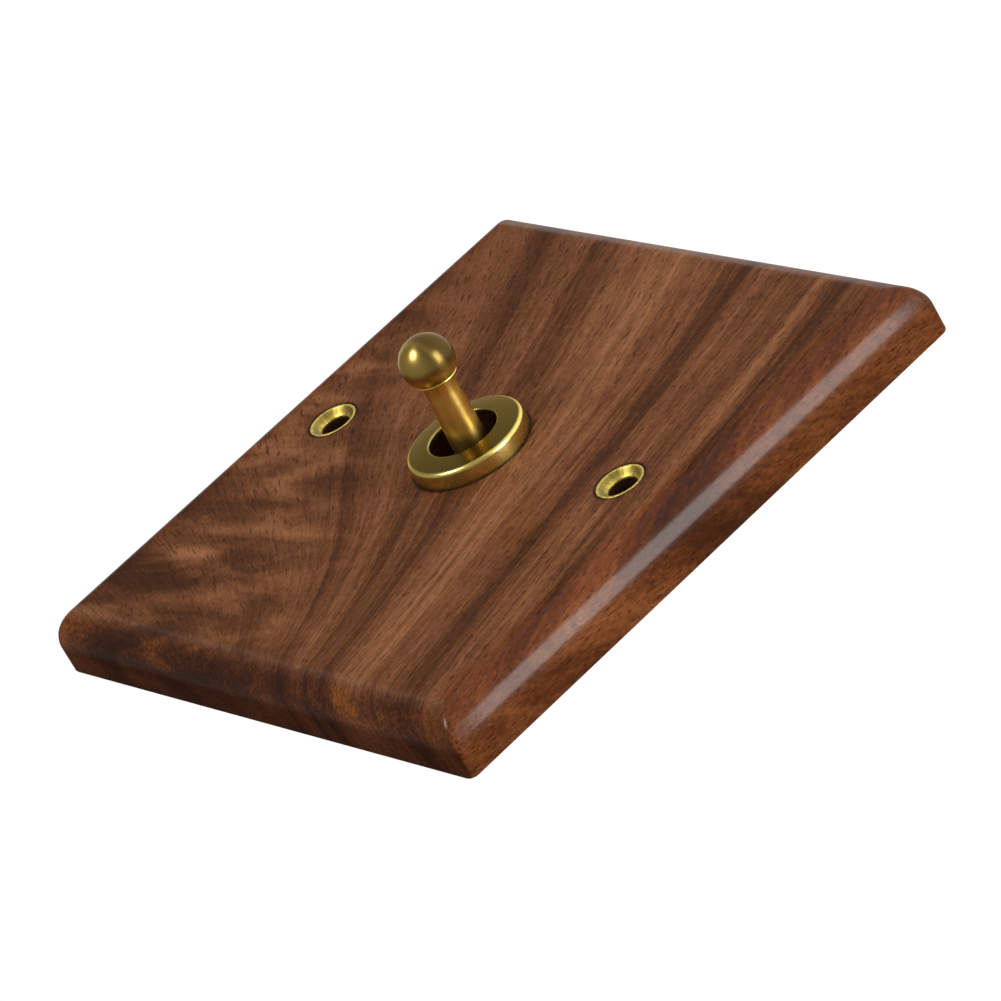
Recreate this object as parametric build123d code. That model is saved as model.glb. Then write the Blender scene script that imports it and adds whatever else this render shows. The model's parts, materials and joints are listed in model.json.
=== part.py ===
from build123d import *
import math
import os

# Toggle light switch on a square wooden plate, with a brass ball lever.
# Every piece is modelled with Z pointing out of the plate's face and the wall at Z = 0.
# to_wall() then turns it upright: Z up, the face towards -Y, the wall plane at Y = 0.
# All sizes are in millimetres and all angles in degrees.

# Wooden plate
plate_side = 86.0
plate_thickness = 8.6
round_over_radius = 4.6

# Screw cups let into the plate
screw_spacing = 60.3
screw_hole_radius = 2.0
cup_rim_radius = 3.25
cup_rim_land = 0.3
cup_rim_depth = 0.4
cup_cone_depth = 0.9
cup_wall = 0.6
cup_inset_from_back = 0.5

# Ring nut round the lever
ring_radius = 8.0
ring_edge_height = 2.35
ring_lip_height = 2.85
ring_lip_thickness = 0.9
ring_hole_radius = 4.65
ring_edge_round = 0.25
ring_spigot_wall = 0.85
ring_spigot_depth = 5.0

# Threaded bushing and what clamps it to the plate
thread_radius = 6.0
bushing_mouth_radius = 4.7
bushing_waist_radius = 3.8
bushing_foot_radius = 4.4
bushing_flange_radius = 7.6
bushing_flange_thickness = 0.9
spread_washer_radius = 11.5
spread_washer_thickness = 1.0
lock_washer_radius = 8.6
lock_washer_thickness = 0.8
lock_washer_notches = 12
lock_washer_notch_radius = 0.7
nut_across_flats = 15.0
nut_thickness = 2.4
nut_chamfer = 0.4

# Lever, its pivot pin and the sprung plunger in its tail
pivot_depth = 9.85
ball_radius = 3.6
ball_reach = 13.4
ball_foot_drop = 2.3
ball_foot_round = 0.12
shank_radius = 2.14
shank_root_radius = 2.35
pivot_boss_radius = 3.4
tail_radius = 2.4
tail_length = 7.0
pin_radius = 0.8
pin_inset = 0.3
plunger_radius = 1.4
plunger_tip_radius = 1.1
plunger_tip_reach = 9.8
plunger_body_length = 4.6
plunger_stroke = 0.5
plunger_bore_roof = 1.4
spring_wire_radius = 0.14
spring_turns = 5
lever_throw = 12.0
lever_lean = 2.0

# Contact rocker under the plunger
rocker_share = 2 / 3
rocker_seat_height = 2.6
rocker_half_length = 7.2
rocker_half_width = 2.8
rocker_arm_top = 0.3
rocker_arm_bottom = 0.5
rocker_saddle_half_length = 3.4
rocker_saddle_wall = 0.7
fulcrum_radius = 0.5
fulcrum_flare = 20.0
contact_offset = 6.0
contact_radius = 1.0
contact_thickness = 0.4

# Moulded base, steel frame and insulating sheet
frame_thickness = 1.2
frame_length = 33.0
frame_leg_width = 5.0
frame_leg_inset = 6.0
frame_tab_reach = 2.4
sheet_thickness = 0.4
base_half_width = 9.4
base_end_inset = 0.3
base_corner_radius = 1.2
base_floor = 2.4
cavity_side_wall = 3.2
cavity_end_wall = 4.6
rib_height = 2.6
rib_thickness = 1.2
rib_offset = 5.2

# Terminals
strip_thickness = 0.8
strip_half_width = 2.5
tab_end_inset = 0.4
tab_half_width = 3.2
screw_radius = 1.5
screw_length = 3.2
screw_head_radius = 2.7
screw_head_height = 1.8
screw_slot_width = 0.7
screw_slot_depth = 0.9
clamp_half_side = 3.0
clamp_thickness = 0.8
clamp_lip = 0.7

# Clearances
seat_gap = 0.03
running_gap = 0.03
slide_gap = 0.05
saddle_gap = 0.12
open_gap = 0.25
cavity_gap = 0.08

# How far a cutting shape runs past what it cuts
overcut = 1.0

# Threads are plain, so a nut's bore is the thread with a gap
nut_bore_radius = thread_radius + seat_gap
spigot_radius = nut_bore_radius + ring_spigot_wall

# The base keeps inside the frame's ends, and the cavity, legs and tabs follow it
base_half_length = frame_length / 2 - base_end_inset
frame_leg_offset = frame_length / 2 - frame_leg_inset
cavity_half_width = base_half_width - cavity_side_wall
cavity_half_length = base_half_length - cavity_end_wall
terminal_outer = contact_offset + contact_radius + strip_thickness
tab_outer = base_half_length - tab_end_inset

# Heights along the axis that the lever stands on
face_height = plate_thickness
ring_top = face_height + ring_lip_height
pivot_height = ring_top - pivot_depth
bushing_top = ring_top - ring_lip_thickness - seat_gap
washer_bottom = -spread_washer_thickness
lock_bottom = washer_bottom - lock_washer_thickness
frame_top = lock_bottom - nut_thickness
frame_bottom = frame_top - frame_thickness
flange_bottom = frame_bottom - bushing_flange_thickness
base_top = flange_bottom - sheet_thickness
rocker_height = pivot_height - plunger_tip_reach - rocker_seat_height

# Angles away from the middle of the travel
rocker_throw = lever_throw * rocker_share
rocker_lean = -lever_lean * rocker_share


def saddle_path():
    """Radius of the arc that the plunger's tip draws on the rocker, found from its end point."""
    throw = math.radians(lever_throw)
    turn = math.radians(rocker_throw)
    side = plunger_tip_reach * math.sin(throw)
    height = rocker_seat_height + plunger_tip_reach * (1 - math.cos(throw))
    reach = side * math.cos(turn) - height * math.sin(turn)
    rise = side * math.sin(turn) + height * math.cos(turn) - rocker_seat_height
    return (reach ** 2 + rise ** 2) / (2 * rise)


saddle_radius = saddle_path() + plunger_tip_radius + saddle_gap
saddle_centre = rocker_seat_height + saddle_path()
contact_bottom = rocker_arm_bottom + contact_thickness
contact_drop = (
    contact_bottom * math.cos(math.radians(rocker_throw))
    + (contact_offset + contact_radius) * math.sin(math.radians(rocker_throw))
)
fixed_contact_top = rocker_height - contact_drop - cavity_gap
cavity_floor = fixed_contact_top - contact_thickness - strip_thickness
base_bottom = cavity_floor - base_floor
tab_bottom = base_bottom - strip_thickness


def turned(*points):
    """A solid of revolution about Z from its (radius, height) outline."""
    face = make_face(Polyline(*[(radius, 0, height) for radius, height in points], close=True))
    return revolve(face, Axis.Z)


def rod(radius, low, high, x=0.0, y=0.0):
    """An upright cylinder between two heights."""
    return Pos(x, y, (low + high) / 2) * Cylinder(radius, high - low)


def block(half_x, half_y, low, high, x=0.0, y=0.0):
    """An upright block between two heights."""
    return Pos(x, y, (low + high) / 2) * Box(2 * half_x, 2 * half_y, high - low)


def cross_rod(radius, half_length, height):
    """A cylinder along X through the axis."""
    return Pos(0, 0, height) * Rot(0, 90, 0) * Cylinder(radius, 2 * half_length)


def side_profile(half_width, *points):
    """A solid along X from its (y, height) outline."""
    face = make_face(Polyline(*[(-half_width, y, height) for y, height in points], close=True))
    return extrude(face, amount=2 * half_width, dir=(1, 0, 0))


# Plate and cups


def cup_outline(gap):
    """Outside of a screw cup from its rim to its sleeve, grown by a gap."""
    sleeve = screw_hole_radius + cup_wall + gap
    cone_foot = face_height - cup_rim_depth - cup_cone_depth
    return [
        (cup_rim_radius + gap, face_height),
        (cup_rim_radius + gap, face_height - cup_rim_depth - gap),
        (sleeve, cone_foot - gap),
    ]


def wood_plate():
    body = block(plate_side / 2, plate_side / 2, 0, plate_thickness)
    top_edges = body.faces().sort_by(Axis.Z)[-1].edges()
    body = fillet(top_edges, round_over_radius)
    body -= rod(spigot_radius + slide_gap, -overcut, plate_thickness + overcut)
    outline = cup_outline(seat_gap)
    sleeve = outline[-1][0]
    pocket = turned((0, face_height + overcut), (cup_rim_radius + seat_gap, face_height + overcut), *outline,
                    (sleeve, -overcut), (0, -overcut))
    for side in (-1, 1):
        body -= Pos(side * screw_spacing / 2, 0, 0) * pocket
    return body


def screw_cup(side):
    land = cup_rim_radius - cup_rim_land
    outline = cup_outline(0)
    sleeve = outline[-1][0]
    cup = turned(
        *outline,
        (sleeve, cup_inset_from_back),
        (screw_hole_radius, cup_inset_from_back),
        (screw_hole_radius, face_height - cup_cone_depth),
        (land, face_height),
    )
    return Pos(side * screw_spacing / 2, 0, 0) * cup


# Ring, bushing and clamping hardware


def ring_nut():
    edge_top = face_height + ring_edge_height
    ring = turned(
        (ring_hole_radius, ring_top),
        (ring_radius, edge_top),
        (ring_radius, face_height),
        (spigot_radius, face_height),
        (spigot_radius, face_height - ring_spigot_depth),
        (nut_bore_radius, face_height - ring_spigot_depth),
        (nut_bore_radius, ring_top - ring_lip_thickness),
        (ring_hole_radius, ring_top - ring_lip_thickness),
    )
    rims = [
        edge for edge in ring.edges().filter_by(GeomType.CIRCLE)
        if edge.center().Z > edge_top - ring_edge_height / 2 and edge.radius > ring_radius - ring_edge_round
    ]
    mouth = [
        edge for edge in ring.edges().filter_by(GeomType.CIRCLE)
        if edge.center().Z > ring_top - ring_lip_thickness / 2 and edge.radius < ring_hole_radius + ring_edge_round
    ]
    return fillet(rims + mouth, ring_edge_round)


def bushing():
    flange_top = frame_bottom
    tube = turned(
        (bushing_mouth_radius, bushing_top),
        (thread_radius, bushing_top),
        (thread_radius, flange_top),
        (bushing_flange_radius, flange_top),
        (bushing_flange_radius, flange_bottom),
        (bushing_foot_radius, flange_bottom),
        (bushing_waist_radius, pivot_height),
    )
    return tube - cross_rod(pin_radius + seat_gap, thread_radius + overcut, pivot_height)


def washer(outer_radius, low, high):
    return rod(outer_radius, low, high) - rod(thread_radius + slide_gap, low - overcut, high + overcut)


def spread_washer():
    return washer(spread_washer_radius, washer_bottom, 0)


def lock_washer():
    ring = washer(lock_washer_radius, lock_bottom, washer_bottom)
    middle = (lock_bottom + washer_bottom) / 2
    for place in PolarLocations(lock_washer_radius, lock_washer_notches):
        ring -= Pos(0, 0, middle) * place * Cylinder(lock_washer_notch_radius, 2 * lock_washer_thickness)
    return ring


def back_nut():
    middle = (lock_bottom + frame_top) / 2
    hexagon = extrude(RegularPolygon(nut_across_flats / 2, 6, major_radius=False), nut_thickness / 2, both=True)
    corner_radius = nut_across_flats / 2 + nut_chamfer
    half = nut_thickness / 2
    barrel = turned(
        (0, half), (corner_radius - nut_chamfer, half), (corner_radius + nut_chamfer, half - nut_chamfer),
        (corner_radius + nut_chamfer, nut_chamfer - half), (corner_radius - nut_chamfer, -half), (0, -half),
    )
    nut = Pos(0, 0, middle) * (hexagon & barrel)
    return nut - rod(nut_bore_radius, frame_top - overcut, lock_bottom + overcut)


# Lever group, built about the pivot and then set at its rest angle


def leaning(solid, angle, height):
    """Turn a solid about the X axis through a point on the centre line."""
    return Pos(0, 0, height) * Rot(angle, 0, 0) * solid


def ball_height():
    return (face_height + ball_reach - pivot_height) / math.cos(math.radians(lever_lean))


def toggle_lever():
    foot = ball_height() - ball_foot_drop
    root = ring_top - pivot_height
    shank = turned((0, foot + ball_radius / 2), (shank_radius, foot + ball_radius / 2), (shank_radius, root + foot / 3),
                   (shank_root_radius, root), (shank_root_radius, 0), (0, 0))
    ball = Pos(0, 0, ball_height()) * Sphere(ball_radius)
    ball &= rod(ball_radius + overcut, foot, foot + 2 * ball_radius)
    ball = fillet(ball.faces().sort_by(Axis.Z)[0].edges(), ball_foot_round)
    boss = Sphere(pivot_boss_radius)
    tail = rod(tail_radius, -tail_length, 0)
    lever = ball + shank + boss + tail
    lever -= cross_rod(pin_radius + running_gap, pivot_boss_radius + overcut, 0)
    lever -= rod(plunger_radius + slide_gap, -tail_length - overcut, -plunger_bore_roof)
    return leaning(lever, lever_lean, pivot_height)


def pivot_pin():
    return cross_rod(pin_radius, thread_radius - pin_inset, pivot_height)


def plunger_top():
    shoulder = plunger_tip_reach - (plunger_radius - plunger_tip_radius)
    return plunger_body_length - shoulder


def plunger():
    shoulder = plunger_tip_reach - (plunger_radius - plunger_tip_radius)
    body = turned((0, plunger_top()), (plunger_radius, plunger_top()), (plunger_radius, -shoulder),
                  (plunger_tip_radius, -plunger_tip_reach), (0, -plunger_tip_reach))
    tip = Pos(0, 0, -plunger_tip_reach) * Sphere(plunger_tip_radius)
    return leaning(body + tip, lever_lean, pivot_height)


def plunger_spring():
    low = plunger_top() + plunger_stroke + spring_wire_radius + slide_gap
    high = -plunger_bore_roof - spring_wire_radius
    radius = plunger_radius - spring_wire_radius - slide_gap
    path = Helix(pitch=(high - low) / spring_turns, height=high - low, radius=radius)
    wire = Plane(origin=path @ 0, z_dir=path % 0) * Circle(spring_wire_radius)
    return leaning(Pos(0, 0, low) * sweep(wire, path=path, is_frenet=True), lever_lean, pivot_height)


# Rocker group, built about its fulcrum


def contact_rocker():
    arms = block(rocker_half_width, rocker_half_length, -rocker_arm_bottom, rocker_arm_top)
    saddle_outer = rocker_saddle_half_length + rocker_saddle_wall
    saddle_top = saddle_centre - math.sqrt(saddle_radius ** 2 - rocker_saddle_half_length ** 2)
    saddle = block(rocker_half_width, saddle_outer, -rocker_arm_bottom, saddle_top)
    body = arms + saddle
    body -= cross_rod(saddle_radius, rocker_half_width + overcut, saddle_centre)
    notch = fulcrum_radius + running_gap
    flare = notch + rocker_arm_bottom * math.tan(math.radians(fulcrum_flare))
    body -= cross_rod(notch, rocker_half_width + overcut, 0)
    body -= side_profile(rocker_half_width + overcut, (-notch, 0), (notch, 0), (flare, -rocker_arm_bottom),
                         (flare, -2 * rocker_arm_bottom), (-flare, -2 * rocker_arm_bottom),
                         (-flare, -rocker_arm_bottom))
    return leaning(body, rocker_lean, rocker_height)


def rocker_contact(side):
    button = rod(contact_radius, -contact_bottom, -rocker_arm_bottom, y=side * contact_offset)
    return leaning(button, rocker_lean, rocker_height)


# Base, frame and sheet

leg_gap = seat_gap + frame_thickness
screw_seat = tab_bottom - clamp_thickness
upper_screw_offset = (terminal_outer + tab_outer) / 2
common_screw_offset = fulcrum_radius + tab_half_width + strip_thickness


def terminal_screw_places():
    return {"common": (common_screw_offset, 0), "upper": (0, upper_screw_offset), "lower": (0, -upper_screw_offset)}


def insulating_sheet():
    sheet = block(base_half_width, base_half_length, base_top, flange_bottom)
    swing = math.radians(lever_throw)
    reach = (pivot_height - base_top) * math.tan(swing) + tail_radius / math.cos(swing) + open_gap
    return sheet - block(tail_radius + 2 * open_gap, reach, base_top - overcut, flange_bottom + overcut)


def switch_base():
    body = block(base_half_width, base_half_length, base_bottom, base_top)
    body = fillet(body.edges().filter_by(Axis.Z), base_corner_radius)
    body -= block(cavity_half_width, cavity_half_length, cavity_floor, base_top + overcut)
    for side in (-1, 1):
        body += block(base_half_width - leg_gap - frame_tab_reach, rib_thickness / 2, base_bottom - rib_height,
                      base_bottom + seat_gap, y=side * rib_offset)
        slot_y = side * (terminal_outer - strip_thickness / 2)
        body -= block(strip_half_width + seat_gap, strip_thickness / 2 + seat_gap, base_bottom - overcut,
                      cavity_floor + overcut, y=slot_y)
    body -= block(strip_half_width + seat_gap, fulcrum_radius + seat_gap, base_bottom - overcut,
                  cavity_floor + overcut)
    for x, y in terminal_screw_places().values():
        body -= rod(screw_radius + slide_gap, base_bottom - overcut, screw_seat + screw_length + slide_gap, x, y)
    return body


def switch_frame():
    half_width = base_half_width + leg_gap
    top = block(half_width, frame_length / 2, frame_bottom, frame_top)
    top -= rod(thread_radius + seat_gap, frame_bottom - overcut, frame_top + overcut)
    frame = top
    tab_low = base_bottom - frame_thickness
    for side_x in (-1, 1):
        for side_y in (-1, 1):
            leg_x = side_x * (base_half_width + seat_gap + frame_thickness / 2)
            leg_y = side_y * frame_leg_offset
            frame += block(frame_thickness / 2, frame_leg_width / 2, tab_low, frame_bottom, leg_x, leg_y)
            tab_x = side_x * (base_half_width + leg_gap - frame_tab_reach / 2)
            frame += block(frame_tab_reach / 2, frame_leg_width / 2, tab_low, base_bottom, tab_x, leg_y)
    return frame


# Terminals and their hardware


def side_terminal(side):
    """A strip from the pad in the cavity, down through the floor and out along the back."""
    inner = contact_offset - contact_radius
    blade_inner = terminal_outer - strip_thickness
    pad_top = cavity_floor + strip_thickness
    strip = side_profile(
        strip_half_width,
        (side * inner, pad_top), (side * terminal_outer, pad_top), (side * terminal_outer, base_bottom),
        (side * blade_inner, base_bottom), (side * blade_inner, cavity_floor), (side * inner, cavity_floor),
    )
    tab_middle = side * (blade_inner + tab_outer) / 2
    tab = block(tab_half_width, (tab_outer - blade_inner) / 2, tab_bottom, base_bottom, y=tab_middle)
    hole = rod(screw_radius + slide_gap, tab_bottom - overcut, base_bottom + overcut, y=side * upper_screw_offset)
    return strip + tab - hole


def common_terminal():
    """The fulcrum blade that carries the rocker, with its tab on the back."""
    blade = block(strip_half_width, fulcrum_radius, base_bottom, rocker_height)
    edge = cross_rod(fulcrum_radius, strip_half_width, rocker_height)
    tab_reach = common_screw_offset + tab_half_width
    tab = block(tab_reach / 2 + fulcrum_radius, tab_half_width, tab_bottom, base_bottom,
                x=tab_reach / 2 - fulcrum_radius)
    hole = rod(screw_radius + slide_gap, tab_bottom - overcut, base_bottom + overcut, x=common_screw_offset)
    return blade + edge + tab - hole


def fixed_contact(side):
    return rod(contact_radius, cavity_floor + strip_thickness, fixed_contact_top, y=side * contact_offset)


def terminal_screw(x, y):
    head = rod(screw_head_radius, screw_seat - screw_head_height, screw_seat)
    head = fillet(head.edges().sort_by(Axis.Z)[0], screw_head_height / 3)
    shank = rod(screw_radius, screw_seat, screw_seat + screw_length)
    slot_floor = screw_seat - screw_head_height + screw_slot_depth
    slot = block(screw_head_radius + overcut, screw_slot_width / 2, slot_floor - 2 * screw_slot_depth, slot_floor)
    return Pos(x, y, 0) * (head + shank - slot)


def wire_clamp(x, y):
    """A square saddle washer with two lips turned up towards the tab."""
    plate = block(clamp_half_side, clamp_half_side, screw_seat, tab_bottom)
    channel = block(clamp_half_side + overcut, clamp_half_side - clamp_lip, tab_bottom - clamp_thickness / 3,
                    tab_bottom + overcut)
    hole = rod(screw_radius + slide_gap, screw_seat - overcut, tab_bottom + overcut)
    return Pos(x, y, 0) * (plate - channel - hole)


def to_wall(solid):
    """Stand the model up: the plate's face turns from +Z to -Y."""
    return Rot(90, 0, 0) * solid


def parts():
    nodes = {
        "wood_plate": wood_plate(),
        "screw_cup_left": screw_cup(-1),
        "screw_cup_right": screw_cup(1),
        "ring_nut": ring_nut(),
        "bushing": bushing(),
        "spread_washer": spread_washer(),
        "lock_washer": lock_washer(),
        "back_nut": back_nut(),
        "toggle_lever": toggle_lever(),
        "pivot_pin": pivot_pin(),
        "plunger": plunger(),
        "plunger_spring": plunger_spring(),
        "contact_rocker": contact_rocker(),
        "rocker_contact_upper": rocker_contact(1),
        "rocker_contact_lower": rocker_contact(-1),
        "insulating_sheet": insulating_sheet(),
        "switch_base": switch_base(),
        "switch_frame": switch_frame(),
        "common_terminal": common_terminal(),
        "upper_terminal": side_terminal(1),
        "lower_terminal": side_terminal(-1),
        "fixed_contact_upper": fixed_contact(1),
        "fixed_contact_lower": fixed_contact(-1),
    }
    for name, (x, y) in terminal_screw_places().items():
        nodes["terminal_screw_" + name] = terminal_screw(x, y)
        nodes["wire_clamp_" + name] = wire_clamp(x, y)
    return nodes


os.makedirs("parts", exist_ok=True)
for node, solid in parts().items():
    export_step(to_wall(solid), "parts/" + node + ".step")
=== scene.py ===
import json
import math

import bmesh
import bpy
from mathutils import Matrix, Vector

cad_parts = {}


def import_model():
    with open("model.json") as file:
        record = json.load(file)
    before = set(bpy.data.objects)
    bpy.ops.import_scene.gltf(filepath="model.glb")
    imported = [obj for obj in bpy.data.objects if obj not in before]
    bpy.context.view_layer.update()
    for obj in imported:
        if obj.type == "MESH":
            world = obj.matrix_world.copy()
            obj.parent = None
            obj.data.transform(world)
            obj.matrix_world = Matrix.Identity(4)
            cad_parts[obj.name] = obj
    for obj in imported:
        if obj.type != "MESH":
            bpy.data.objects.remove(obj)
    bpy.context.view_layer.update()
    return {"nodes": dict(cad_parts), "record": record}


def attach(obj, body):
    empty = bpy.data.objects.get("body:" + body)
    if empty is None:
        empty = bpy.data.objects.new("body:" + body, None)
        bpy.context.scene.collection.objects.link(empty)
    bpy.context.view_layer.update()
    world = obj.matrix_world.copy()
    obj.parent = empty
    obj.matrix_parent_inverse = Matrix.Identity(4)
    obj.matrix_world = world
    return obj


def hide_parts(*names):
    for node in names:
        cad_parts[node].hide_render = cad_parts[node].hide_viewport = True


# A toggle light switch: a walnut plate with a brass ring, a ball-ended lever and two screw cups.
# The plate stands upright as on a wall, with Z up and its face towards -Y.
# Sizes are in millimetres where a name ends in _mm or a value is an outline point, else in metres.

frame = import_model()
nodes = frame["nodes"]
for imported in list(bpy.data.materials):
    bpy.data.materials.remove(imported)
MM = 0.001

# Camera, as fitted to the plate's edges and the ring in the photograph
camera_azimuth = -60.2068
camera_elevation = 23.3376
camera_roll = 132.8661
camera_distance = 0.89644
camera_target = (0.000256, -0.000425, 0.000025)
sensor_width_mm = 36.0
lens_mm = 260.1122

# Stage: the floor reaches so far that no low view shows its edge
floor_height = -0.45
floor_half_side = 40.0
floor_grey = 0.8
floor_glow = 0.70
world_grey = 0.35
# Lamps: direction from the object, distance, width, power and, where it isn't square, height
lamp_settings = {
    "key_lamp": ((0.17, -0.86, 0.49), 0.9, 0.30, 5.0, None),
    "side_lamp": ((-0.85, -0.25, -0.37), 0.55, 0.38, 3.05, 0.22),
}

# Plate
plate_side_mm = 86.0
plate_thickness_mm = 8.6
round_over_mm = 4.6
corner_soft_mm = 1.1
mitre_soft_mm = 0.3
back_edge_soft_mm = 0.25
face_loop_insets_mm = (0.12, 1.0)
plate_bore_mm = 6.93
pocket_edge_soft_mm = 0.1
screw_spacing_mm = 60.3

# Screw cups
cup_rim_radius_mm = 3.25
cup_rim_land_mm = 0.3
cup_rim_depth_mm = 0.4
cup_cone_depth_mm = 0.9
cup_sleeve_radius_mm = 2.6
cup_hole_radius_mm = 2.0
cup_foot_mm = 0.5
cup_rim_round_mm = 0.08
cup_hole_round_mm = 0.15
cup_foot_round_mm = 0.1
seat_gap_mm = 0.03
# How far the tools that cut the plate reach past its faces
cutter_reach_mm = 1.0

# Ring
ring_radius_mm = 8.0
ring_edge_height_mm = 2.35
ring_lip_height_mm = 2.85
ring_lip_thickness_mm = 0.9
ring_hole_radius_mm = 4.65
ring_edge_round_mm = 0.55
ring_mouth_round_mm = 0.3
ring_spigot_radius_mm = 6.88
ring_thread_radius_mm = 6.03
ring_spigot_depth_mm = 5.0
ring_foot_round_mm = 0.05
spigot_round_mm = 0.15
lip_round_mm = 0.1

# Lever, about its pivot
pivot_depth_mm = 9.85
lever_lean = 2.0
ball_radius_mm = 3.6
ball_reach_mm = 13.4
ball_foot_drop_mm = 2.3
ball_bead_mm = 0.17
shank_radius_mm = 2.14
shank_root_radius_mm = 2.35
boss_radius_mm = 3.4
tail_radius_mm = 2.4
tail_length_mm = 7.0
tail_bore_radius_mm = 1.45
tail_bore_roof_mm = 1.4
tail_edge_mm = 0.2

# How many sides a turned mesh has
cup_segments = 96
lever_segments = 128
ring_segments = 160

ring_top_mm = plate_thickness_mm + ring_lip_height_mm
pivot_height_mm = ring_top_mm - pivot_depth_mm
ball_rise_mm = plate_thickness_mm + ball_reach_mm - pivot_height_mm
ball_height_mm = ball_rise_mm / math.cos(math.radians(lever_lean))


# Shader graphs


class Value:
    """A shader socket that can be used in sums."""

    def __init__(self, graph, socket):
        self.graph = graph
        self.socket = socket

    def _math(self, operation, other, swap=False):
        first, second = (other, self) if swap else (self, other)
        return self.graph.math(operation, first, second)

    def __add__(self, other):
        return self._math("ADD", other)

    def __radd__(self, other):
        return self._math("ADD", other, True)

    def __sub__(self, other):
        return self._math("SUBTRACT", other)

    def __rsub__(self, other):
        return self._math("SUBTRACT", other, True)

    def __mul__(self, other):
        return self._math("MULTIPLY", other)

    def __rmul__(self, other):
        return self._math("MULTIPLY", other, True)

    def __truediv__(self, other):
        return self._math("DIVIDE", other)


class Graph:
    """A material's nodes, with a Principled shader at their end."""

    def __init__(self, name):
        self.material = bpy.data.materials.new(name)
        self.material.use_nodes = True
        self.tree = self.material.node_tree
        self.shader = self.tree.nodes["Principled BSDF"]

    def node(self, kind, **settings):
        """A new shader node with these settings."""
        made = self.tree.nodes.new("ShaderNode" + kind)
        for key, value in settings.items():
            setattr(made, key, value)
        return made

    def feed(self, socket, value):
        """Link a Value to a socket, or set a plain number or colour on it."""
        if isinstance(value, Value):
            self.tree.links.new(value.socket, socket)
        else:
            socket.default_value = value

    def math(self, operation, first, second=0.0):
        """One operation on two numbers, either of which can be a Value."""
        made = self.node("Math", operation=operation)
        for socket, value in zip(made.inputs, (first, second)):
            self.feed(socket, value)
        return Value(self, made.outputs[0])

    def step(self, value, low, high, start=0.0, end=1.0):
        """A smooth step from start to end as value goes from low to high."""
        made = self.node("MapRange", interpolation_type="SMOOTHSTEP")
        for socket, given in zip(made.inputs, (value, low, high, start, end)):
            self.feed(socket, given)
        return Value(self, made.outputs[0])

    def place(self):
        """The point on the piece, in millimetres, as three values."""
        split = self.node("SeparateXYZ")
        self.tree.links.new(self.node("TexCoord").outputs["Object"], split.inputs[0])
        return [Value(self, socket) / MM for socket in split.outputs]

    def vector(self, x, y, z):
        """One vector of three values."""
        made = self.node("CombineXYZ")
        for socket, value in zip(made.inputs, (x, y, z)):
            self.feed(socket, value)
        return Value(self, made.outputs[0])

    def noise(self, vector, scale=1.0, detail=3.0, roughness=0.5, distortion=0.0):
        """Noise about zero, from about -0.5 to 0.5."""
        made = self.node("TexNoise")
        self.feed(made.inputs["Vector"], vector)
        made.inputs["Scale"].default_value = scale
        made.inputs["Detail"].default_value = detail
        made.inputs["Roughness"].default_value = roughness
        made.inputs["Distortion"].default_value = distortion
        return Value(self, made.outputs["Fac"]) - 0.5

    def ramp(self, value, stops):
        """A colour for each value, from (place, colour) pairs."""
        made = self.node("ValToRGB")
        made.color_ramp.interpolation = "B_SPLINE"
        elements = made.color_ramp.elements
        while len(elements) < len(stops):
            elements.new(0.5)
        for element, (place, colour) in zip(elements, stops):
            element.position = place
            element.color = (*colour, 1.0)
        self.feed(made.inputs[0], value)
        return Value(self, made.outputs[0])

    def blend(self, factor, first, second, mode="MIX"):
        """A mix of two colours."""
        made = self.node("Mix", data_type="RGBA", blend_type=mode)
        self.feed(made.inputs[0], factor)
        for socket, colour in ((made.inputs[6], first), (made.inputs[7], second)):
            self.feed(socket, colour if isinstance(colour, Value) else (*colour, 1.0))
        return Value(self, made.outputs[2])

    def bump(self, height, depth_mm):
        """Relief from a height that runs over about one unit."""
        made = self.node("Bump")
        made.inputs["Distance"].default_value = depth_mm * MM
        self.feed(made.inputs["Height"], height)
        self.tree.links.new(made.outputs[0], self.shader.inputs["Normal"])

    def finish(self, **values):
        """Set the shader's own inputs, named with underscores for spaces."""
        for key, value in values.items():
            socket = self.shader.inputs[key.replace("_", " ")]
            plain_colour = isinstance(value, tuple) and len(value) == 3
            self.feed(socket, (*value, 1.0) if plain_colour else value)
        return self.material


# Materials


def fade(g, value, edge, span, start=0.0, end=1.0):
    """A smooth step whose two ends are given from an edge."""
    return g.step(value, edge + span[0], edge + span[1], start, end)


def hill(g, value, centre, half_width):
    """One at the centre, falling smoothly to nothing on both sides."""
    away = (value - centre) / half_width
    return g.math("EXPONENT", away * away * -1.0)


def grain_field(g, x, y, z):
    """How far a point lies across the wood's rings and along its grain, in millimetres.

    The grain runs down the plate, leans to the right and sweeps round a curl in the upper right corner.
    """
    swing = g.step(x, -25.0, 10.0)
    right = g.math("MAXIMUM", x - 2.0, 0.0)
    high = g.math("MAXIMUM", z + 6.0, 0.0)
    drift = g.noise(g.vector(x * 0.03, y * 0.05, z * 0.012), detail=2.0)
    waver = g.noise(g.vector(x * 0.2, y * 0.2, z * 0.045), detail=2.0)
    across = x - right * right * 0.0075 + z * 0.235 + swing * (z * 0.16 + high * high * 0.013)
    return across + y * 0.35 + drift * 4.0 + waver * 1.3, z - x * 0.25


# Broad streaks of the plate: place across the rings, half width, and strength (pale above zero)
broad_streaks_mm = (
    (-44.0, 2.0, -0.13), (-40.5, 1.5, 0.12), (-30.5, 1.0, 0.10), (-26.5, 1.6, -0.16), (-15.0, 6.0, 0.15),
    (-3.5, 2.2, -0.11), (5.0, 1.6, -0.18), (11.0, 3.5, 0.06), (18.5, 1.5, -0.09), (27.0, 4.0, 0.06),
    (54.0, 9.0, -0.12),
)
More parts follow.
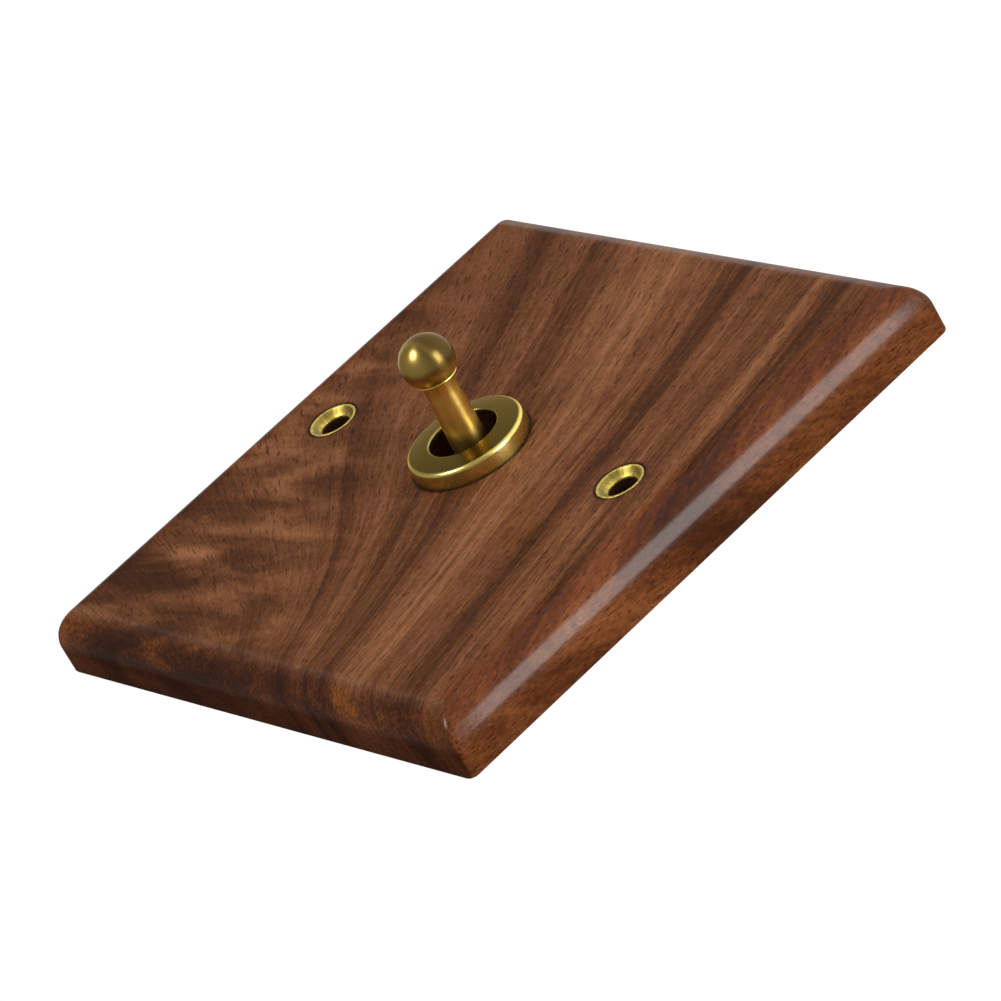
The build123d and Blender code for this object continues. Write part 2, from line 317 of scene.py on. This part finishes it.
# Patches of the curl: x, z, half length, half height, strength (pale above zero)
curl_patches_mm = (
    (23.0, 20.5, 8.5, 1.5, 0.26), (28.5, 26.5, 5.5, 1.2, 0.24), (11.5, 34.0, 2.6, 1.1, 0.18),
    (33.0, 14.5, 6.0, 2.6, 0.12), (19.0, 30.0, 6.0, 1.4, -0.14), (25.0, 16.0, 7.0, 1.0, -0.12),
)
curl_rise = 0.18
# Colours from the darkest figure to the palest
walnut_stops = (
    (0.08, (0.026, 0.010, 0.005)),
    (0.34, (0.066, 0.024, 0.010)),
    (0.50, (0.128, 0.046, 0.018)),
    (0.66, (0.204, 0.081, 0.034)),
    (0.90, (0.315, 0.142, 0.066)),
)
pore_colour = (0.030, 0.010, 0.005)
contact_shade_colour = (0.010, 0.006, 0.004)
# Stains, and a painted shade line, that multiply the wood's colour
end_stain = (0.48, 0.36, 0.30)
amber_stain = (1.0, 0.74, 0.28)
side_stain = (0.86, 0.68, 0.48)
shade_line_colour = (0.76, 0.60, 0.48)
# Where a stain begins and where it is full, in from the plate's sides
end_grain_inset_mm = (3.6, 1.4)
side_grain_inset_mm = (4.1, 2.4)
# A painted shade line runs along the side round-overs, and the amber fades towards the near corner
shade_line_inset_mm = 3.2
shade_line_half_width_mm = 2.0
amber_free_corner_mm = 11.0
mitre_blur_mm = 0.08
# Painted contact shade along the edge of the ring and cups, and the polish of the face and of the
# round-over
contact_shade_reach_mm = 0.65
contact_shade_strength = 0.9
face_polish = 0.05
edge_polish = 0.26
# Where the metal's painted dark top and crown, its wear and sheen, and the painted shade down its holes
# begin and end, from the edge or height they follow
ball_shaded_crown_mm = (0.6, -1.8)
ring_top_shade_edge_mm = (-0.55, -0.15)
ring_hole_wear_sheen_mm = (0.3, 0.05)
cup_hole_worn_mm = (0.5, 0.1)
cup_rim_worn_mm = (-0.12, 0.0)
cup_hole_shade_mm = (-0.3, 0.05)
mouth_shade_depth_mm = (-2.0, -5.0)
mouth_shade_radius_mm = (6.2, 5.6)


def add_figure(g, tone, x, z, across):
    """Add the broad streaks and the curl's patches to the wood's tone."""
    for place, half_width, strength in broad_streaks_mm:
        tone = tone + hill(g, across, place, half_width) * strength
    for patch_x, patch_z, half_length, half_height, strength in curl_patches_mm:
        height = z - (x - patch_x) * curl_rise
        tone = tone + hill(g, x, patch_x, half_length) * hill(g, height, patch_z, half_height) * strength
    return tone


def stained_edges(g, colour, x, y, z, clouding):
    """Darken the end grain but for amber patches, redden the side grain and its round-over, and paint a
    shade line along the side round-overs.
    """
    half = plate_side_mm / 2
    beside = g.math("ABSOLUTE", x)
    above = g.math("ABSOLUTE", z)
    end = g.step(above - beside, -mitre_blur_mm, mitre_blur_mm)
    end_grain = g.step(above, *(half - inset for inset in end_grain_inset_mm)) * end
    side_grain = g.step(beside, *(half - inset for inset in side_grain_inset_mm)) * (1.0 - end)
    # A painted shade line along the side round-overs
    shade_line = hill(g, beside, half - shade_line_inset_mm, shade_line_half_width_mm)
    shade_line = shade_line * g.step(y, -4.0, -6.0) * (1.0 - end)
    amber = g.step(clouding, -0.08, 0.16) * g.step(y, -3.6, -5.2)
    amber = amber * g.step(x, -half, amber_free_corner_mm - half, 0.3, 1.0)
    for where, stain in ((end_grain, g.blend(amber, end_stain, amber_stain)),
                         (side_grain, side_stain), (shade_line, shade_line_colour)):
        colour = g.blend(where, colour, g.blend(1.0, colour, stain, "MULTIPLY"))
    return colour


def rim_distance(g, x, z):
    """How far a point on the face lies outside the ring and the two cups."""
    side = g.math("ABSOLUTE", x) - screw_spacing_mm / 2
    from_cup = g.math("SQRT", side * side + z * z) - cup_rim_radius_mm
    from_ring = g.math("SQRT", x * x + z * z) - ring_radius_mm
    return g.math("ABSOLUTE", g.math("MINIMUM", from_cup, from_ring))


def walnut():
    """Oiled walnut with streaks, a cloudy curl, short dark pores and darker end grain, painted shade
    round the ring and cups, and a painted shade line along the side round-overs.

    Only its round-over is polished enough to shine.
    """
    g = Graph("walnut")
    x, y, z = g.place()
    across, along = grain_field(g, x, y, z)
    bands = g.noise(g.vector(across * 0.28, 0.0, along * 0.008), detail=4.0, roughness=0.6)
    streaks = g.noise(g.vector(across * 1.5, y * 0.4, along * 0.045), detail=3.0, roughness=0.55)
    fibres = g.noise(g.vector(across * 4.0, y * 4.0, along * 0.35), detail=3.0, roughness=0.65)
    grit = g.noise(g.vector(x * 2.2, y * 2.2, z * 1.3), detail=3.0, roughness=0.65)
    cloud = g.noise(g.vector(x * 0.07, y * 0.1, (z - x * curl_rise) * 0.2), detail=3.0, distortion=0.7)
    curl = g.step(x + z * 0.7, 8.0, 36.0)
    # The straight figure fades where the curl begins and towards the right side
    calm = g.math("MAXIMUM", curl, g.step(x, 10.0, 32.0))

    tone = 0.49 + bands * (0.46 - calm * 0.26) + streaks * (0.46 - calm * 0.32)
    tone = tone + fibres * (0.36 - calm * 0.1) + grit * 0.38
    tone = tone + cloud * (0.15 + curl * 0.85)
    colour = g.ramp(add_figure(g, tone, x, z, across), walnut_stops)
    grains = g.noise(g.vector(across * 3.4, y * 3.4, along * 0.5), detail=1.5)
    pores = g.step(grains + bands * 0.12, 0.1, 0.2)
    colour = g.blend(pores * 0.6, colour, pore_colour)
    colour = stained_edges(g, colour, x, y, z, cloud + grit * 0.5)
    # Painted contact shade round the ring and the two cups
    contact_shade = g.step(rim_distance(g, x, z) + grit * 0.3, contact_shade_reach_mm, 0.05, 0.0, contact_shade_strength)
    colour = g.blend(contact_shade, colour, contact_shade_colour)

    face = -plate_thickness_mm
    polish = g.step(y, face + 0.02, face + 0.25) * g.step(y, -3.3, -5.2, 0.01, edge_polish)
    g.bump(fibres * 0.35 + grit * 0.3 - pores, 0.05)
    return g.finish(Base_Color=colour, Roughness=0.5, Specular_IOR_Level=0.0,
                    Coat_Weight=face_polish + polish, Coat_Roughness=0.21)


def brass(name, base, bright_brass, bright_where, rough, turned=0.0, coat=0.0):
    """Satin brass, mottled with age. Turned pieces carry fine rings round their own Z axis.

    bright_where(g, radius, y, z) is one where the bright brass is used, and nought where the base is,
    which is painted darker as a painted reflection.
    """
    g = Graph(name)
    x, y, z = g.place()
    mottle = g.noise(g.vector(x, y, z), scale=0.5, detail=4.0, roughness=0.6)
    specks = g.noise(g.vector(x, y, z), scale=1.6, detail=2.0)
    radius = g.math("SQRT", x * x + y * y)
    rings = g.noise(g.vector(radius * 4.0, z * 4.0, 0.0), detail=2.0)
    # Plain bright brass, or the darker base that is a painted dark reflection
    under = g.blend(bright_where(g, radius, y, z), base, bright_brass)
    tone = 0.5 + mottle * 0.45 + specks * 0.12 + rings * 0.15
    shade = g.ramp(tone, ((0.12, (0.72, 0.68, 0.60)), (0.45, (0.97, 0.97, 0.97)), (0.9, (1.2, 1.2, 1.2))))
    g.bump(rings, 0.0006)
    return g.finish(Base_Color=g.blend(1.0, under, shade, "MULTIPLY"), Metallic=1.0,
                    Roughness=rough + mottle * 0.08 + specks * 0.03,
                    Specular_Tint=(0.85, 0.75, 0.55), Anisotropic=turned, Anisotropic_Rotation=0.25,
                    Coat_Weight=coat, Coat_Roughness=0.25)


def lever_bright_where(g, radius, y, z):
    """The lever is bright brass but for the crown of its ball, painted dark as a painted reflection, and
    painted lighter on the crown's lower side.
    """
    below = fade(g, z, ball_height_mm, ball_shaded_crown_mm)
    return g.math("MAXIMUM", below, g.step(y, -0.3, 2.8, 0.0, 0.4))


def ring_bright_where(g, radius, y, z):
    """The ring's top is painted dark brass as a painted reflection, its side is bright brass, and the
    edges of its top and hole are worn bright, partly a painted sheen.
    """
    outer = fade(g, radius, ring_radius_mm, ring_top_shade_edge_mm)
    inner = fade(g, radius, ring_hole_radius_mm, ring_hole_wear_sheen_mm, 0.0, 0.4)
    return g.math("MAXIMUM", outer, inner)


def bushing_brass(name, base, shade_colour):
    """Brass with painted shade down in the mouth of the ring."""
    g = Graph(name)
    x, y, z = g.place()
    grain = g.noise(g.vector(x, y, z), scale=0.8, detail=4.0, roughness=0.6)
    radius = g.math("SQRT", x * x + z * z)
    # Painted shade down in the mouth of the ring
    painted_shade = g.step(y, *mouth_shade_depth_mm) * g.step(radius, *mouth_shade_radius_mm)
    dark = tuple(c * 0.75 for c in base)
    light = tuple(c * 1.2 for c in base)
    colour = g.ramp(0.5 + grain, ((0.1, dark), (0.9, light)))
    g.bump(grain, 0.005)
    return g.finish(Base_Color=g.blend(painted_shade, colour, shade_colour), Metallic=1.0 - painted_shade,
                    Roughness=0.35 + painted_shade * 0.5, Specular_IOR_Level=0.0)


def cup_metal(name, base, shade_colour):
    """Turned brass with fine marks down its cone, worn bright along its rim and its hole.

    The sleeve below the cone is painted dark, as shade down the hole.
    """
    g = Graph(name)
    x, y, z = g.place()
    angle = g.math("ARCTAN2", y, x)
    marks = g.noise(g.vector(angle * 9.0, z * 0.6, 0.0), detail=3.0, roughness=0.6)
    specks = g.noise(g.vector(x, y, z), scale=2.0, detail=3.0)
    top = plate_thickness_mm
    cone_foot = top - cup_cone_depth_mm
    worn = g.math("MAXIMUM", fade(g, z, cone_foot, cup_hole_worn_mm), fade(g, z, top, cup_rim_worn_mm))
    base = g.blend(worn, base, tuple(c * 2.0 for c in base))
    shade = g.ramp(0.5 + marks * 2.0 + specks * 0.8,
                   ((0.1, (0.35, 0.30, 0.15)), (0.5, (1.0, 1.0, 1.0)), (0.9, (1.35, 1.35, 1.3))))
    colour = g.blend(1.0, base, shade, "MULTIPLY")
    # Painted shade down the hole, below the cone
    bright = fade(g, z, cone_foot, cup_hole_shade_mm)
    colour = g.blend(bright, shade_colour, colour)
    g.bump(marks, 0.01)
    return g.finish(Base_Color=colour, Metallic=bright, Roughness=0.42 + specks * 0.1,
                    Specular_IOR_Level=0.0)


def plain(name, base, metallic, rough):
    """A moulded, plated or pressed surface with slight unevenness."""
    g = Graph(name)
    x, y, z = g.place()
    grain = g.noise(g.vector(x, y, z), scale=1.2, detail=4.0, roughness=0.6)
    cloud = g.noise(g.vector(x, y, z), scale=0.15, detail=2.0)
    dark = tuple(c * 0.76 for c in base)
    light = tuple(c * 1.24 for c in base)
    colour = g.ramp(0.5 + grain * 0.7 + cloud * 0.5, ((0.1, dark), (0.5, base), (0.9, light)))
    g.bump(grain, 0.01)
    return g.finish(Base_Color=colour, Metallic=metallic, Roughness=rough + grain * 0.1)


# Meshes


def piece(name, mesh, material, body, node, place=Matrix.Identity(4)):
    """Put a mesh in the scene at its place, as a piece that stands for a CAD node."""
    mesh.materials.append(material)
    made = bpy.data.objects.new(name, mesh)
    made.matrix_world = place
    bpy.context.scene.collection.objects.link(made)
    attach(made, body)
    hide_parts(node)


def rounded(corners, steps=6):
    """An outline from (point, radius) pairs, each corner rounded by its radius, 0 for a sharp one."""
    outline = []
    points = [point for point, _ in corners]
    count = len(points)
    for i, (corner, radius) in enumerate(corners):
        here = Vector(corner)
        if not radius:
            outline.append(here)
            continue
        before = (Vector(points[i - 1]) - here).normalized()
        after = (Vector(points[(i + 1) % count]) - here).normalized()
        half = before.angle(after) / 2
        reach = radius / math.tan(half)
        centre = here + (before + after).normalized() * radius / math.sin(half)
        first = here + before * reach - centre
        last = here + after * reach - centre
        turn = first.angle_signed(last)
        for k in range(steps + 1):
            angle = -turn * k / steps
            swung = Vector((first.x * math.cos(angle) - first.y * math.sin(angle),
                            first.x * math.sin(angle) + first.y * math.cos(angle)))
            outline.append(centre + swung)
    return outline


def lathe(name, outline, segments, closed=True):
    """A mesh turned about Z from its (radius, height) outline in millimetres."""
    bm = bmesh.new()
    rings = []
    for radius, height in outline:
        if radius < 1e-6:
            rings.append([bm.verts.new((0.0, 0.0, height * MM))])
            continue
        ring = []
        for k in range(segments):
            angle = 2 * math.pi * k / segments
            right = radius * math.cos(angle) * MM
            up = radius * math.sin(angle) * MM
            ring.append(bm.verts.new((right, up, height * MM)))
        rings.append(ring)
    following = rings[1:] + rings[:1] if closed else rings[1:]
    for low, high in zip(rings, following):
        if len(low) == 1 and len(high) == 1:
            continue
        for k in range(segments):
            n = (k + 1) % segments
            if len(low) == 1:
                bm.faces.new((low[0], high[n], high[k]))
            elif len(high) == 1:
                bm.faces.new((low[k], low[n], high[0]))
            else:
                bm.faces.new((low[k], low[n], high[n], high[k]))
    return finished(name, bm)


def finished(name, bm):
    """Make a mesh of it: faces outward, smooth but for its sharp edges."""
    bmesh.ops.recalc_face_normals(bm, faces=bm.faces)
    for face in bm.faces:
        face.smooth = True
    mesh = bpy.data.meshes.new(name)
    bm.to_mesh(mesh)
    bm.free()
    mesh.set_sharp_from_angle(angle=math.radians(35.0))
    return mesh


to_wall = Matrix.Rotation(math.radians(90.0), 4, "X")


def arc(centre_radius, centre_height, radius, start, end, steps):
    """Outline points on an arc: angles in degrees from the radius direction."""
    points = []
    for k in range(steps + 1):
        angle = math.radians(start + (end - start) * k / steps)
        height = centre_height + radius * math.sin(angle)
        points.append((centre_radius + radius * math.cos(angle), height))
    return points


def square_loop(bm, half, soft, height, side_steps=12, corner_steps=4):
    """A square of vertices with softened corners, in millimetres."""
    ring = []
    inner = half - soft
    for quarter in range(4):
        turn = math.pi / 2 * quarter
        along = Vector((-math.sin(turn), math.cos(turn)))
        out = Vector((math.cos(turn), math.sin(turn)))
        for k in range(side_steps):
            ring.append(out * half + along * inner * (2 * k / side_steps - 1))
        for k in range(corner_steps):
            angle = turn + math.pi / 2 * k / corner_steps
            ring.append((out + along) * inner + Vector((math.cos(angle), math.sin(angle))) * soft)
    return [bm.verts.new((p.x * MM, p.y * MM, height * MM)) for p in ring]


def plate_mesh():
    """The plate with its round-over, still without its holes, facing +Z."""
    bm = bmesh.new()
    half = plate_side_mm / 2
    side_top = plate_thickness_mm - round_over_mm
    edge = back_edge_soft_mm
    arc_steps = 24
    levels = [(edge, 0.0), (edge * 0.3, edge * 0.3), (0.0, edge), (0.0, side_top * 0.5)]
    for k in range(arc_steps + 1):
        angle = math.pi / 2 * k / arc_steps
        levels.append((round_over_mm * (1 - math.cos(angle)), side_top + round_over_mm * math.sin(angle)))
    levels += [(round_over_mm + inset, plate_thickness_mm) for inset in face_loop_insets_mm]
    loops = []
    for inset, height in levels:
        share = min(inset / round_over_mm, 1.0)
        soft = corner_soft_mm + (mitre_soft_mm - corner_soft_mm) * share
        loops.append(square_loop(bm, half - inset, soft, height))
    for low, high in zip(loops, loops[1:]):
        for k in range(len(low)):
            n = (k + 1) % len(low)
            bm.faces.new((low[k], low[n], high[n], high[k]))
    bm.faces.new(loops[-1])
    bm.faces.new(list(reversed(loops[0])))
    return finished("wood_plate_body", bm)


def cup_outside(gap):
    """The outside of a screw cup, from its rim down to its sleeve."""
    cone_foot = plate_thickness_mm - cup_rim_depth_mm - cup_cone_depth_mm
    return [
        (cup_rim_radius_mm + gap, plate_thickness_mm),
        (cup_rim_radius_mm + gap, plate_thickness_mm - cup_rim_depth_mm - gap),
        (cup_sleeve_radius_mm + gap, cone_foot - gap),
    ]


def cutter(mesh, x_mm):
    """An object that cuts the plate; it is deleted once the holes are cut."""
    made = bpy.data.objects.new("cutter", mesh)
    made.location.x = x_mm * MM
    bpy.context.scene.collection.objects.link(made)
    return made


def build_plate(material):
    """The plate, with its bore for the switch and its pockets for the two cups."""
    body = bpy.data.objects.new("plate_blank", plate_mesh())
    bpy.context.scene.collection.objects.link(body)
    top = plate_thickness_mm
    pocket = cup_outside(seat_gap_mm)
    soft = pocket_edge_soft_mm
    rim = pocket[0][0]
    reach = cutter_reach_mm
    over = top + reach
    outline = [(0.0, over), (rim + soft + reach, over), (rim, top - soft)] + pocket[1:]
    outline += [(pocket[-1][0], -reach), (0.0, -reach)]
    bore = [(0.0, over), (plate_bore_mm, over), (plate_bore_mm, -reach), (0.0, -reach)]
    cutters = [cutter(lathe("bore_cutter", bore, cup_segments), 0.0)]
    for side in (-1, 1):
        cutters.append(cutter(lathe("pocket_cutter", outline, cup_segments), side * screw_spacing_mm / 2))
    for tool in cutters:
        cut = body.modifiers.new("cut", "BOOLEAN")
        cut.object = tool
        cut.solver = "EXACT"
    bpy.context.view_layer.update()
    evaluated = body.evaluated_get(bpy.context.evaluated_depsgraph_get())
    mesh = bpy.data.meshes.new_from_object(evaluated)
    for used in [body] + cutters:
        bpy.data.objects.remove(used)
    mesh.transform(to_wall)
    mesh.name = "wooden_plate"
    mesh.materials.clear()
    mesh.set_sharp_from_angle(angle=math.radians(25.0))
    piece("wooden_plate", mesh, material, "housing", "wood_plate")


def build_cup(name, side, material):
    """A turned screw cup, left (-1) or right (1) of the ring."""
    top = plate_thickness_mm
    land = cup_rim_radius_mm - cup_rim_land_mm
    corners = list(zip(cup_outside(0.0), (cup_rim_round_mm, 0.0, 0.0))) + [
        ((cup_sleeve_radius_mm, cup_foot_mm), cup_foot_round_mm),
        ((cup_hole_radius_mm, cup_foot_mm), cup_foot_round_mm),
        ((cup_hole_radius_mm, top - cup_cone_depth_mm), cup_hole_round_mm),
        ((land, top), cup_rim_round_mm),
    ]
    outline = rounded(corners)
    place = to_wall @ Matrix.Translation((side * screw_spacing_mm / 2 * MM, 0.0, 0.0))
    node = "screw_cup_left" if side < 0 else "screw_cup_right"
    piece(name, lathe(name, outline, cup_segments), material, "housing", node, place)


def build_ring(material):
    """The ring round the lever, with its spigot and its threaded bore."""
    top = plate_thickness_mm
    foot = top - ring_spigot_depth_mm
    lip_bottom = ring_top_mm - ring_lip_thickness_mm
    corners = [
        ((ring_hole_radius_mm, ring_top_mm), ring_mouth_round_mm),
        ((ring_radius_mm, top + ring_edge_height_mm), ring_edge_round_mm),
        ((ring_radius_mm, top), ring_foot_round_mm),
        ((ring_spigot_radius_mm, top), 0.0),
        ((ring_spigot_radius_mm, foot), spigot_round_mm),
        ((ring_thread_radius_mm, foot), spigot_round_mm),
        ((ring_thread_radius_mm, lip_bottom), 0.0),
        ((ring_hole_radius_mm, lip_bottom), lip_round_mm),
    ]
    outline = rounded(corners)
    piece("ring", lathe("ring", outline, ring_segments), material, "housing", "ring_nut", to_wall)


def build_lever(material):
    """The lever in one turned piece: ball, bead, shank, pivot boss and hollow tail."""
    ball = ball_height_mm
    foot = ball - ball_foot_drop_mm
    root = ring_top_mm - pivot_height_mm
    foot_angle = -math.degrees(math.asin(ball_foot_drop_mm / ball_radius_mm))
    boss_top = math.degrees(math.acos(shank_root_radius_mm / boss_radius_mm))
    boss_low = -math.degrees(math.acos(tail_radius_mm / boss_radius_mm))
    foot_radius = math.sqrt(ball_radius_mm ** 2 - ball_foot_drop_mm ** 2)
    bead = ball_bead_mm
    neck = shank_radius_mm
    soft = tail_edge_mm
    outline = arc(0.0, ball, ball_radius_mm, 90.0, foot_angle + 4.0, 44)
    # The bead at the ball's foot, and the small fillet under it
    outline += [(foot_radius - 0.02, foot + bead)]
    outline += arc(foot_radius - 0.06, foot, bead, 60.0, -90.0, 8)
    outline += [(neck + 0.12, foot - bead), (neck + 0.03, foot - bead - 0.04), (neck, foot - bead - 0.12)]
    outline += [
        (neck, root + foot / 3),
        (shank_root_radius_mm, root),
        (shank_root_radius_mm, boss_radius_mm * math.sin(math.radians(boss_top))),
    ]
    outline += arc(0.0, 0.0, boss_radius_mm, boss_top, boss_low, 20)[1:]
    outline += [
        (tail_radius_mm, soft - tail_length_mm), (tail_radius_mm - soft, -tail_length_mm),
        (tail_bore_radius_mm + soft, -tail_length_mm), (tail_bore_radius_mm, soft - tail_length_mm),
        (tail_bore_radius_mm, -tail_bore_roof_mm), (0.0, -tail_bore_roof_mm),
    ]
    mesh = lathe("ball_lever", outline, lever_segments, closed=False)
    lean = Matrix.Rotation(math.radians(lever_lean), 4, "X")
    place = to_wall @ Matrix.Translation((0.0, 0.0, pivot_height_mm * MM)) @ lean
    piece("ball_lever", mesh, material, "lever", "toggle_lever", place)


# Stage, lamps and camera


def stage():
    """A pale floor, white where it is seen directly or in a mirror."""
    size = floor_half_side
    bm = bmesh.new()
    corners = ((-size, -size), (size, -size), (size, size), (-size, size))
    bm.faces.new([bm.verts.new((x, y, floor_height)) for x, y in corners])
    floor = bpy.data.objects.new("floor", finished("floor", bm))
    material = bpy.data.materials.new("floor")
    material.use_nodes = True
    tree = material.node_tree
    shader = tree.nodes["Principled BSDF"]
    shader.inputs["Base Color"].default_value = (floor_grey, floor_grey, floor_grey, 1.0)
    shader.inputs["Roughness"].default_value = 0.9
    shader.inputs["Specular IOR Level"].default_value = 0.0
    shader.inputs["Emission Color"].default_value = (1.0, 1.0, 1.0, 1.0)
    tree.links.new(seen_rays(tree, floor_glow), shader.inputs["Emission Strength"])
    floor.data.materials.append(material)
    bpy.context.scene.collection.objects.link(floor)


def seen_rays(tree, strength):
    """strength for camera, glossy and transmission rays, and none for the rest."""
    path = tree.nodes.new("ShaderNodeLightPath")
    total = path.outputs["Is Camera Ray"]
    for name in ("Is Glossy Ray", "Is Transmission Ray"):
        add = tree.nodes.new("ShaderNodeMath")
        add.operation = "MAXIMUM"
        tree.links.new(total, add.inputs[0])
        tree.links.new(path.outputs[name], add.inputs[1])
        total = add.outputs[0]
    scale = tree.nodes.new("ShaderNodeMath")
    scale.operation = "MULTIPLY"
    tree.links.new(total, scale.inputs[0])
    scale.inputs[1].default_value = strength
    return scale.outputs[0]


def world():
    """An even grey all round, for plain soft light."""
    made = bpy.data.worlds.new("studio")
    bpy.context.scene.world = made
    made.use_nodes = True
    tree = made.node_tree
    tree.nodes["Background"].inputs["Color"].default_value = (1.0, 1.0, 1.0, 1.0)
    tree.nodes["Background"].inputs["Strength"].default_value = world_grey


def lamp(name, direction, distance, width, power, height):
    """A soft area lamp in a direction from the object, aimed at it."""
    data = bpy.data.lights.new(name, "AREA")
    data.energy = power
    data.size = width
    if height:
        data.shape = "RECTANGLE"
        data.size_y = height
    made = bpy.data.objects.new(name, data)
    towards = Vector(direction).normalized()
    made.location = towards * distance
    made.rotation_euler = towards.to_track_quat("Z", "Y").to_euler()
    made.visible_camera = False
    bpy.context.scene.collection.objects.link(made)


def camera():
    """The photograph's camera, on the line of its azimuth and elevation, turned by its roll."""
    azimuth = math.radians(camera_azimuth)
    elevation = math.radians(camera_elevation)
    roll = math.radians(camera_roll)
    back = Vector((math.cos(elevation) * math.sin(azimuth), -math.cos(elevation) * math.cos(azimuth),
                   math.sin(elevation)))
    level_up = (Vector((0.0, 0.0, 1.0)) - back * back.z).normalized()
    level_right = level_up.cross(back)
    up = level_up * math.cos(roll) + level_right * math.sin(roll)
    right = up.cross(back)
    data = bpy.data.cameras.new("camera")
    data.sensor_width = sensor_width_mm
    data.lens = lens_mm
    made = bpy.data.objects.new("camera", data)
    turn = Matrix((right, up, back)).transposed().to_4x4()
    place = Vector(camera_target) + back * camera_distance
    made.matrix_world = Matrix.Translation(place) @ turn
    bpy.context.scene.collection.objects.link(made)
    bpy.context.scene.camera = made


# Build


def dress(slot_materials):
    """Give every CAD node the material of its slot."""
    slots = {part["node"]: part["material_slot"] for part in frame["record"]["subparts"]}
    for name, node in nodes.items():
        node.data.materials.clear()
        node.data.materials.append(slot_materials[slots[name]])


bpy.context.scene.view_settings.view_transform = "Standard"

# The ring's top and the ball's crown are painted darker than the brass of the ring's side and the shank,
# as a painted dark reflection
ring_top_shaded_base = (0.077, 0.051, 0.014)
ball_crown_shaded_base = (0.076, 0.045, 0.008)
shank_brass_base = (1.0, 0.70, 0.17)
ring_edge_base = (0.76, 0.62, 0.18)
cup_brass_base = (0.27, 0.205, 0.045)
inner_brass_base = (0.40, 0.30, 0.11)
# Painted shade down the cup holes and in the ring's mouth
sleeve_shade = (0.030, 0.012, 0.005)
mouth_shade = (0.022, 0.008, 0.003)
steel_base = (0.42, 0.43, 0.42)
spring_base = (0.35, 0.35, 0.35)
black_base = (0.022, 0.020, 0.019)
fibre_base = (0.16, 0.045, 0.025)
plunger_base = (0.62, 0.60, 0.52)
silver_base = (0.62, 0.62, 0.60)

materials = {
    "walnut": walnut(),
    "ring_brass": brass("ring_brass", ring_top_shaded_base, ring_edge_base, ring_bright_where, 0.27, turned=0.5),
    "lever_brass": brass("lever_brass", ball_crown_shaded_base, shank_brass_base, lever_bright_where, 0.29, turned=0.45,
                         coat=0.15),
    "cup_brass": cup_metal("cup_brass", cup_brass_base, sleeve_shade),
    "inner_brass": bushing_brass("inner_brass", inner_brass_base, mouth_shade),
    "plated_steel": plain("plated_steel", steel_base, 1.0, 0.35),
    "spring_steel": plain("spring_steel", spring_base, 1.0, 0.3),
    "base_black": plain("base_black", black_base, 0.0, 0.45),
    "sheet_fibre": plain("sheet_fibre", fibre_base, 0.0, 0.8),
    "plunger_white": plain("plunger_white", plunger_base, 0.0, 0.45),
    "contact_silver": plain("contact_silver", silver_base, 1.0, 0.3),
}
dress(materials)
build_plate(materials["walnut"])
for cup_side, cup_name in ((-1, "cup_left"), (1, "cup_right")):
    build_cup(cup_name, cup_side, materials["cup_brass"])
build_ring(materials["ring_brass"])
build_lever(materials["lever_brass"])

stage()
world()
for lamp_name, settings in lamp_settings.items():
    lamp(lamp_name, *settings)
camera()
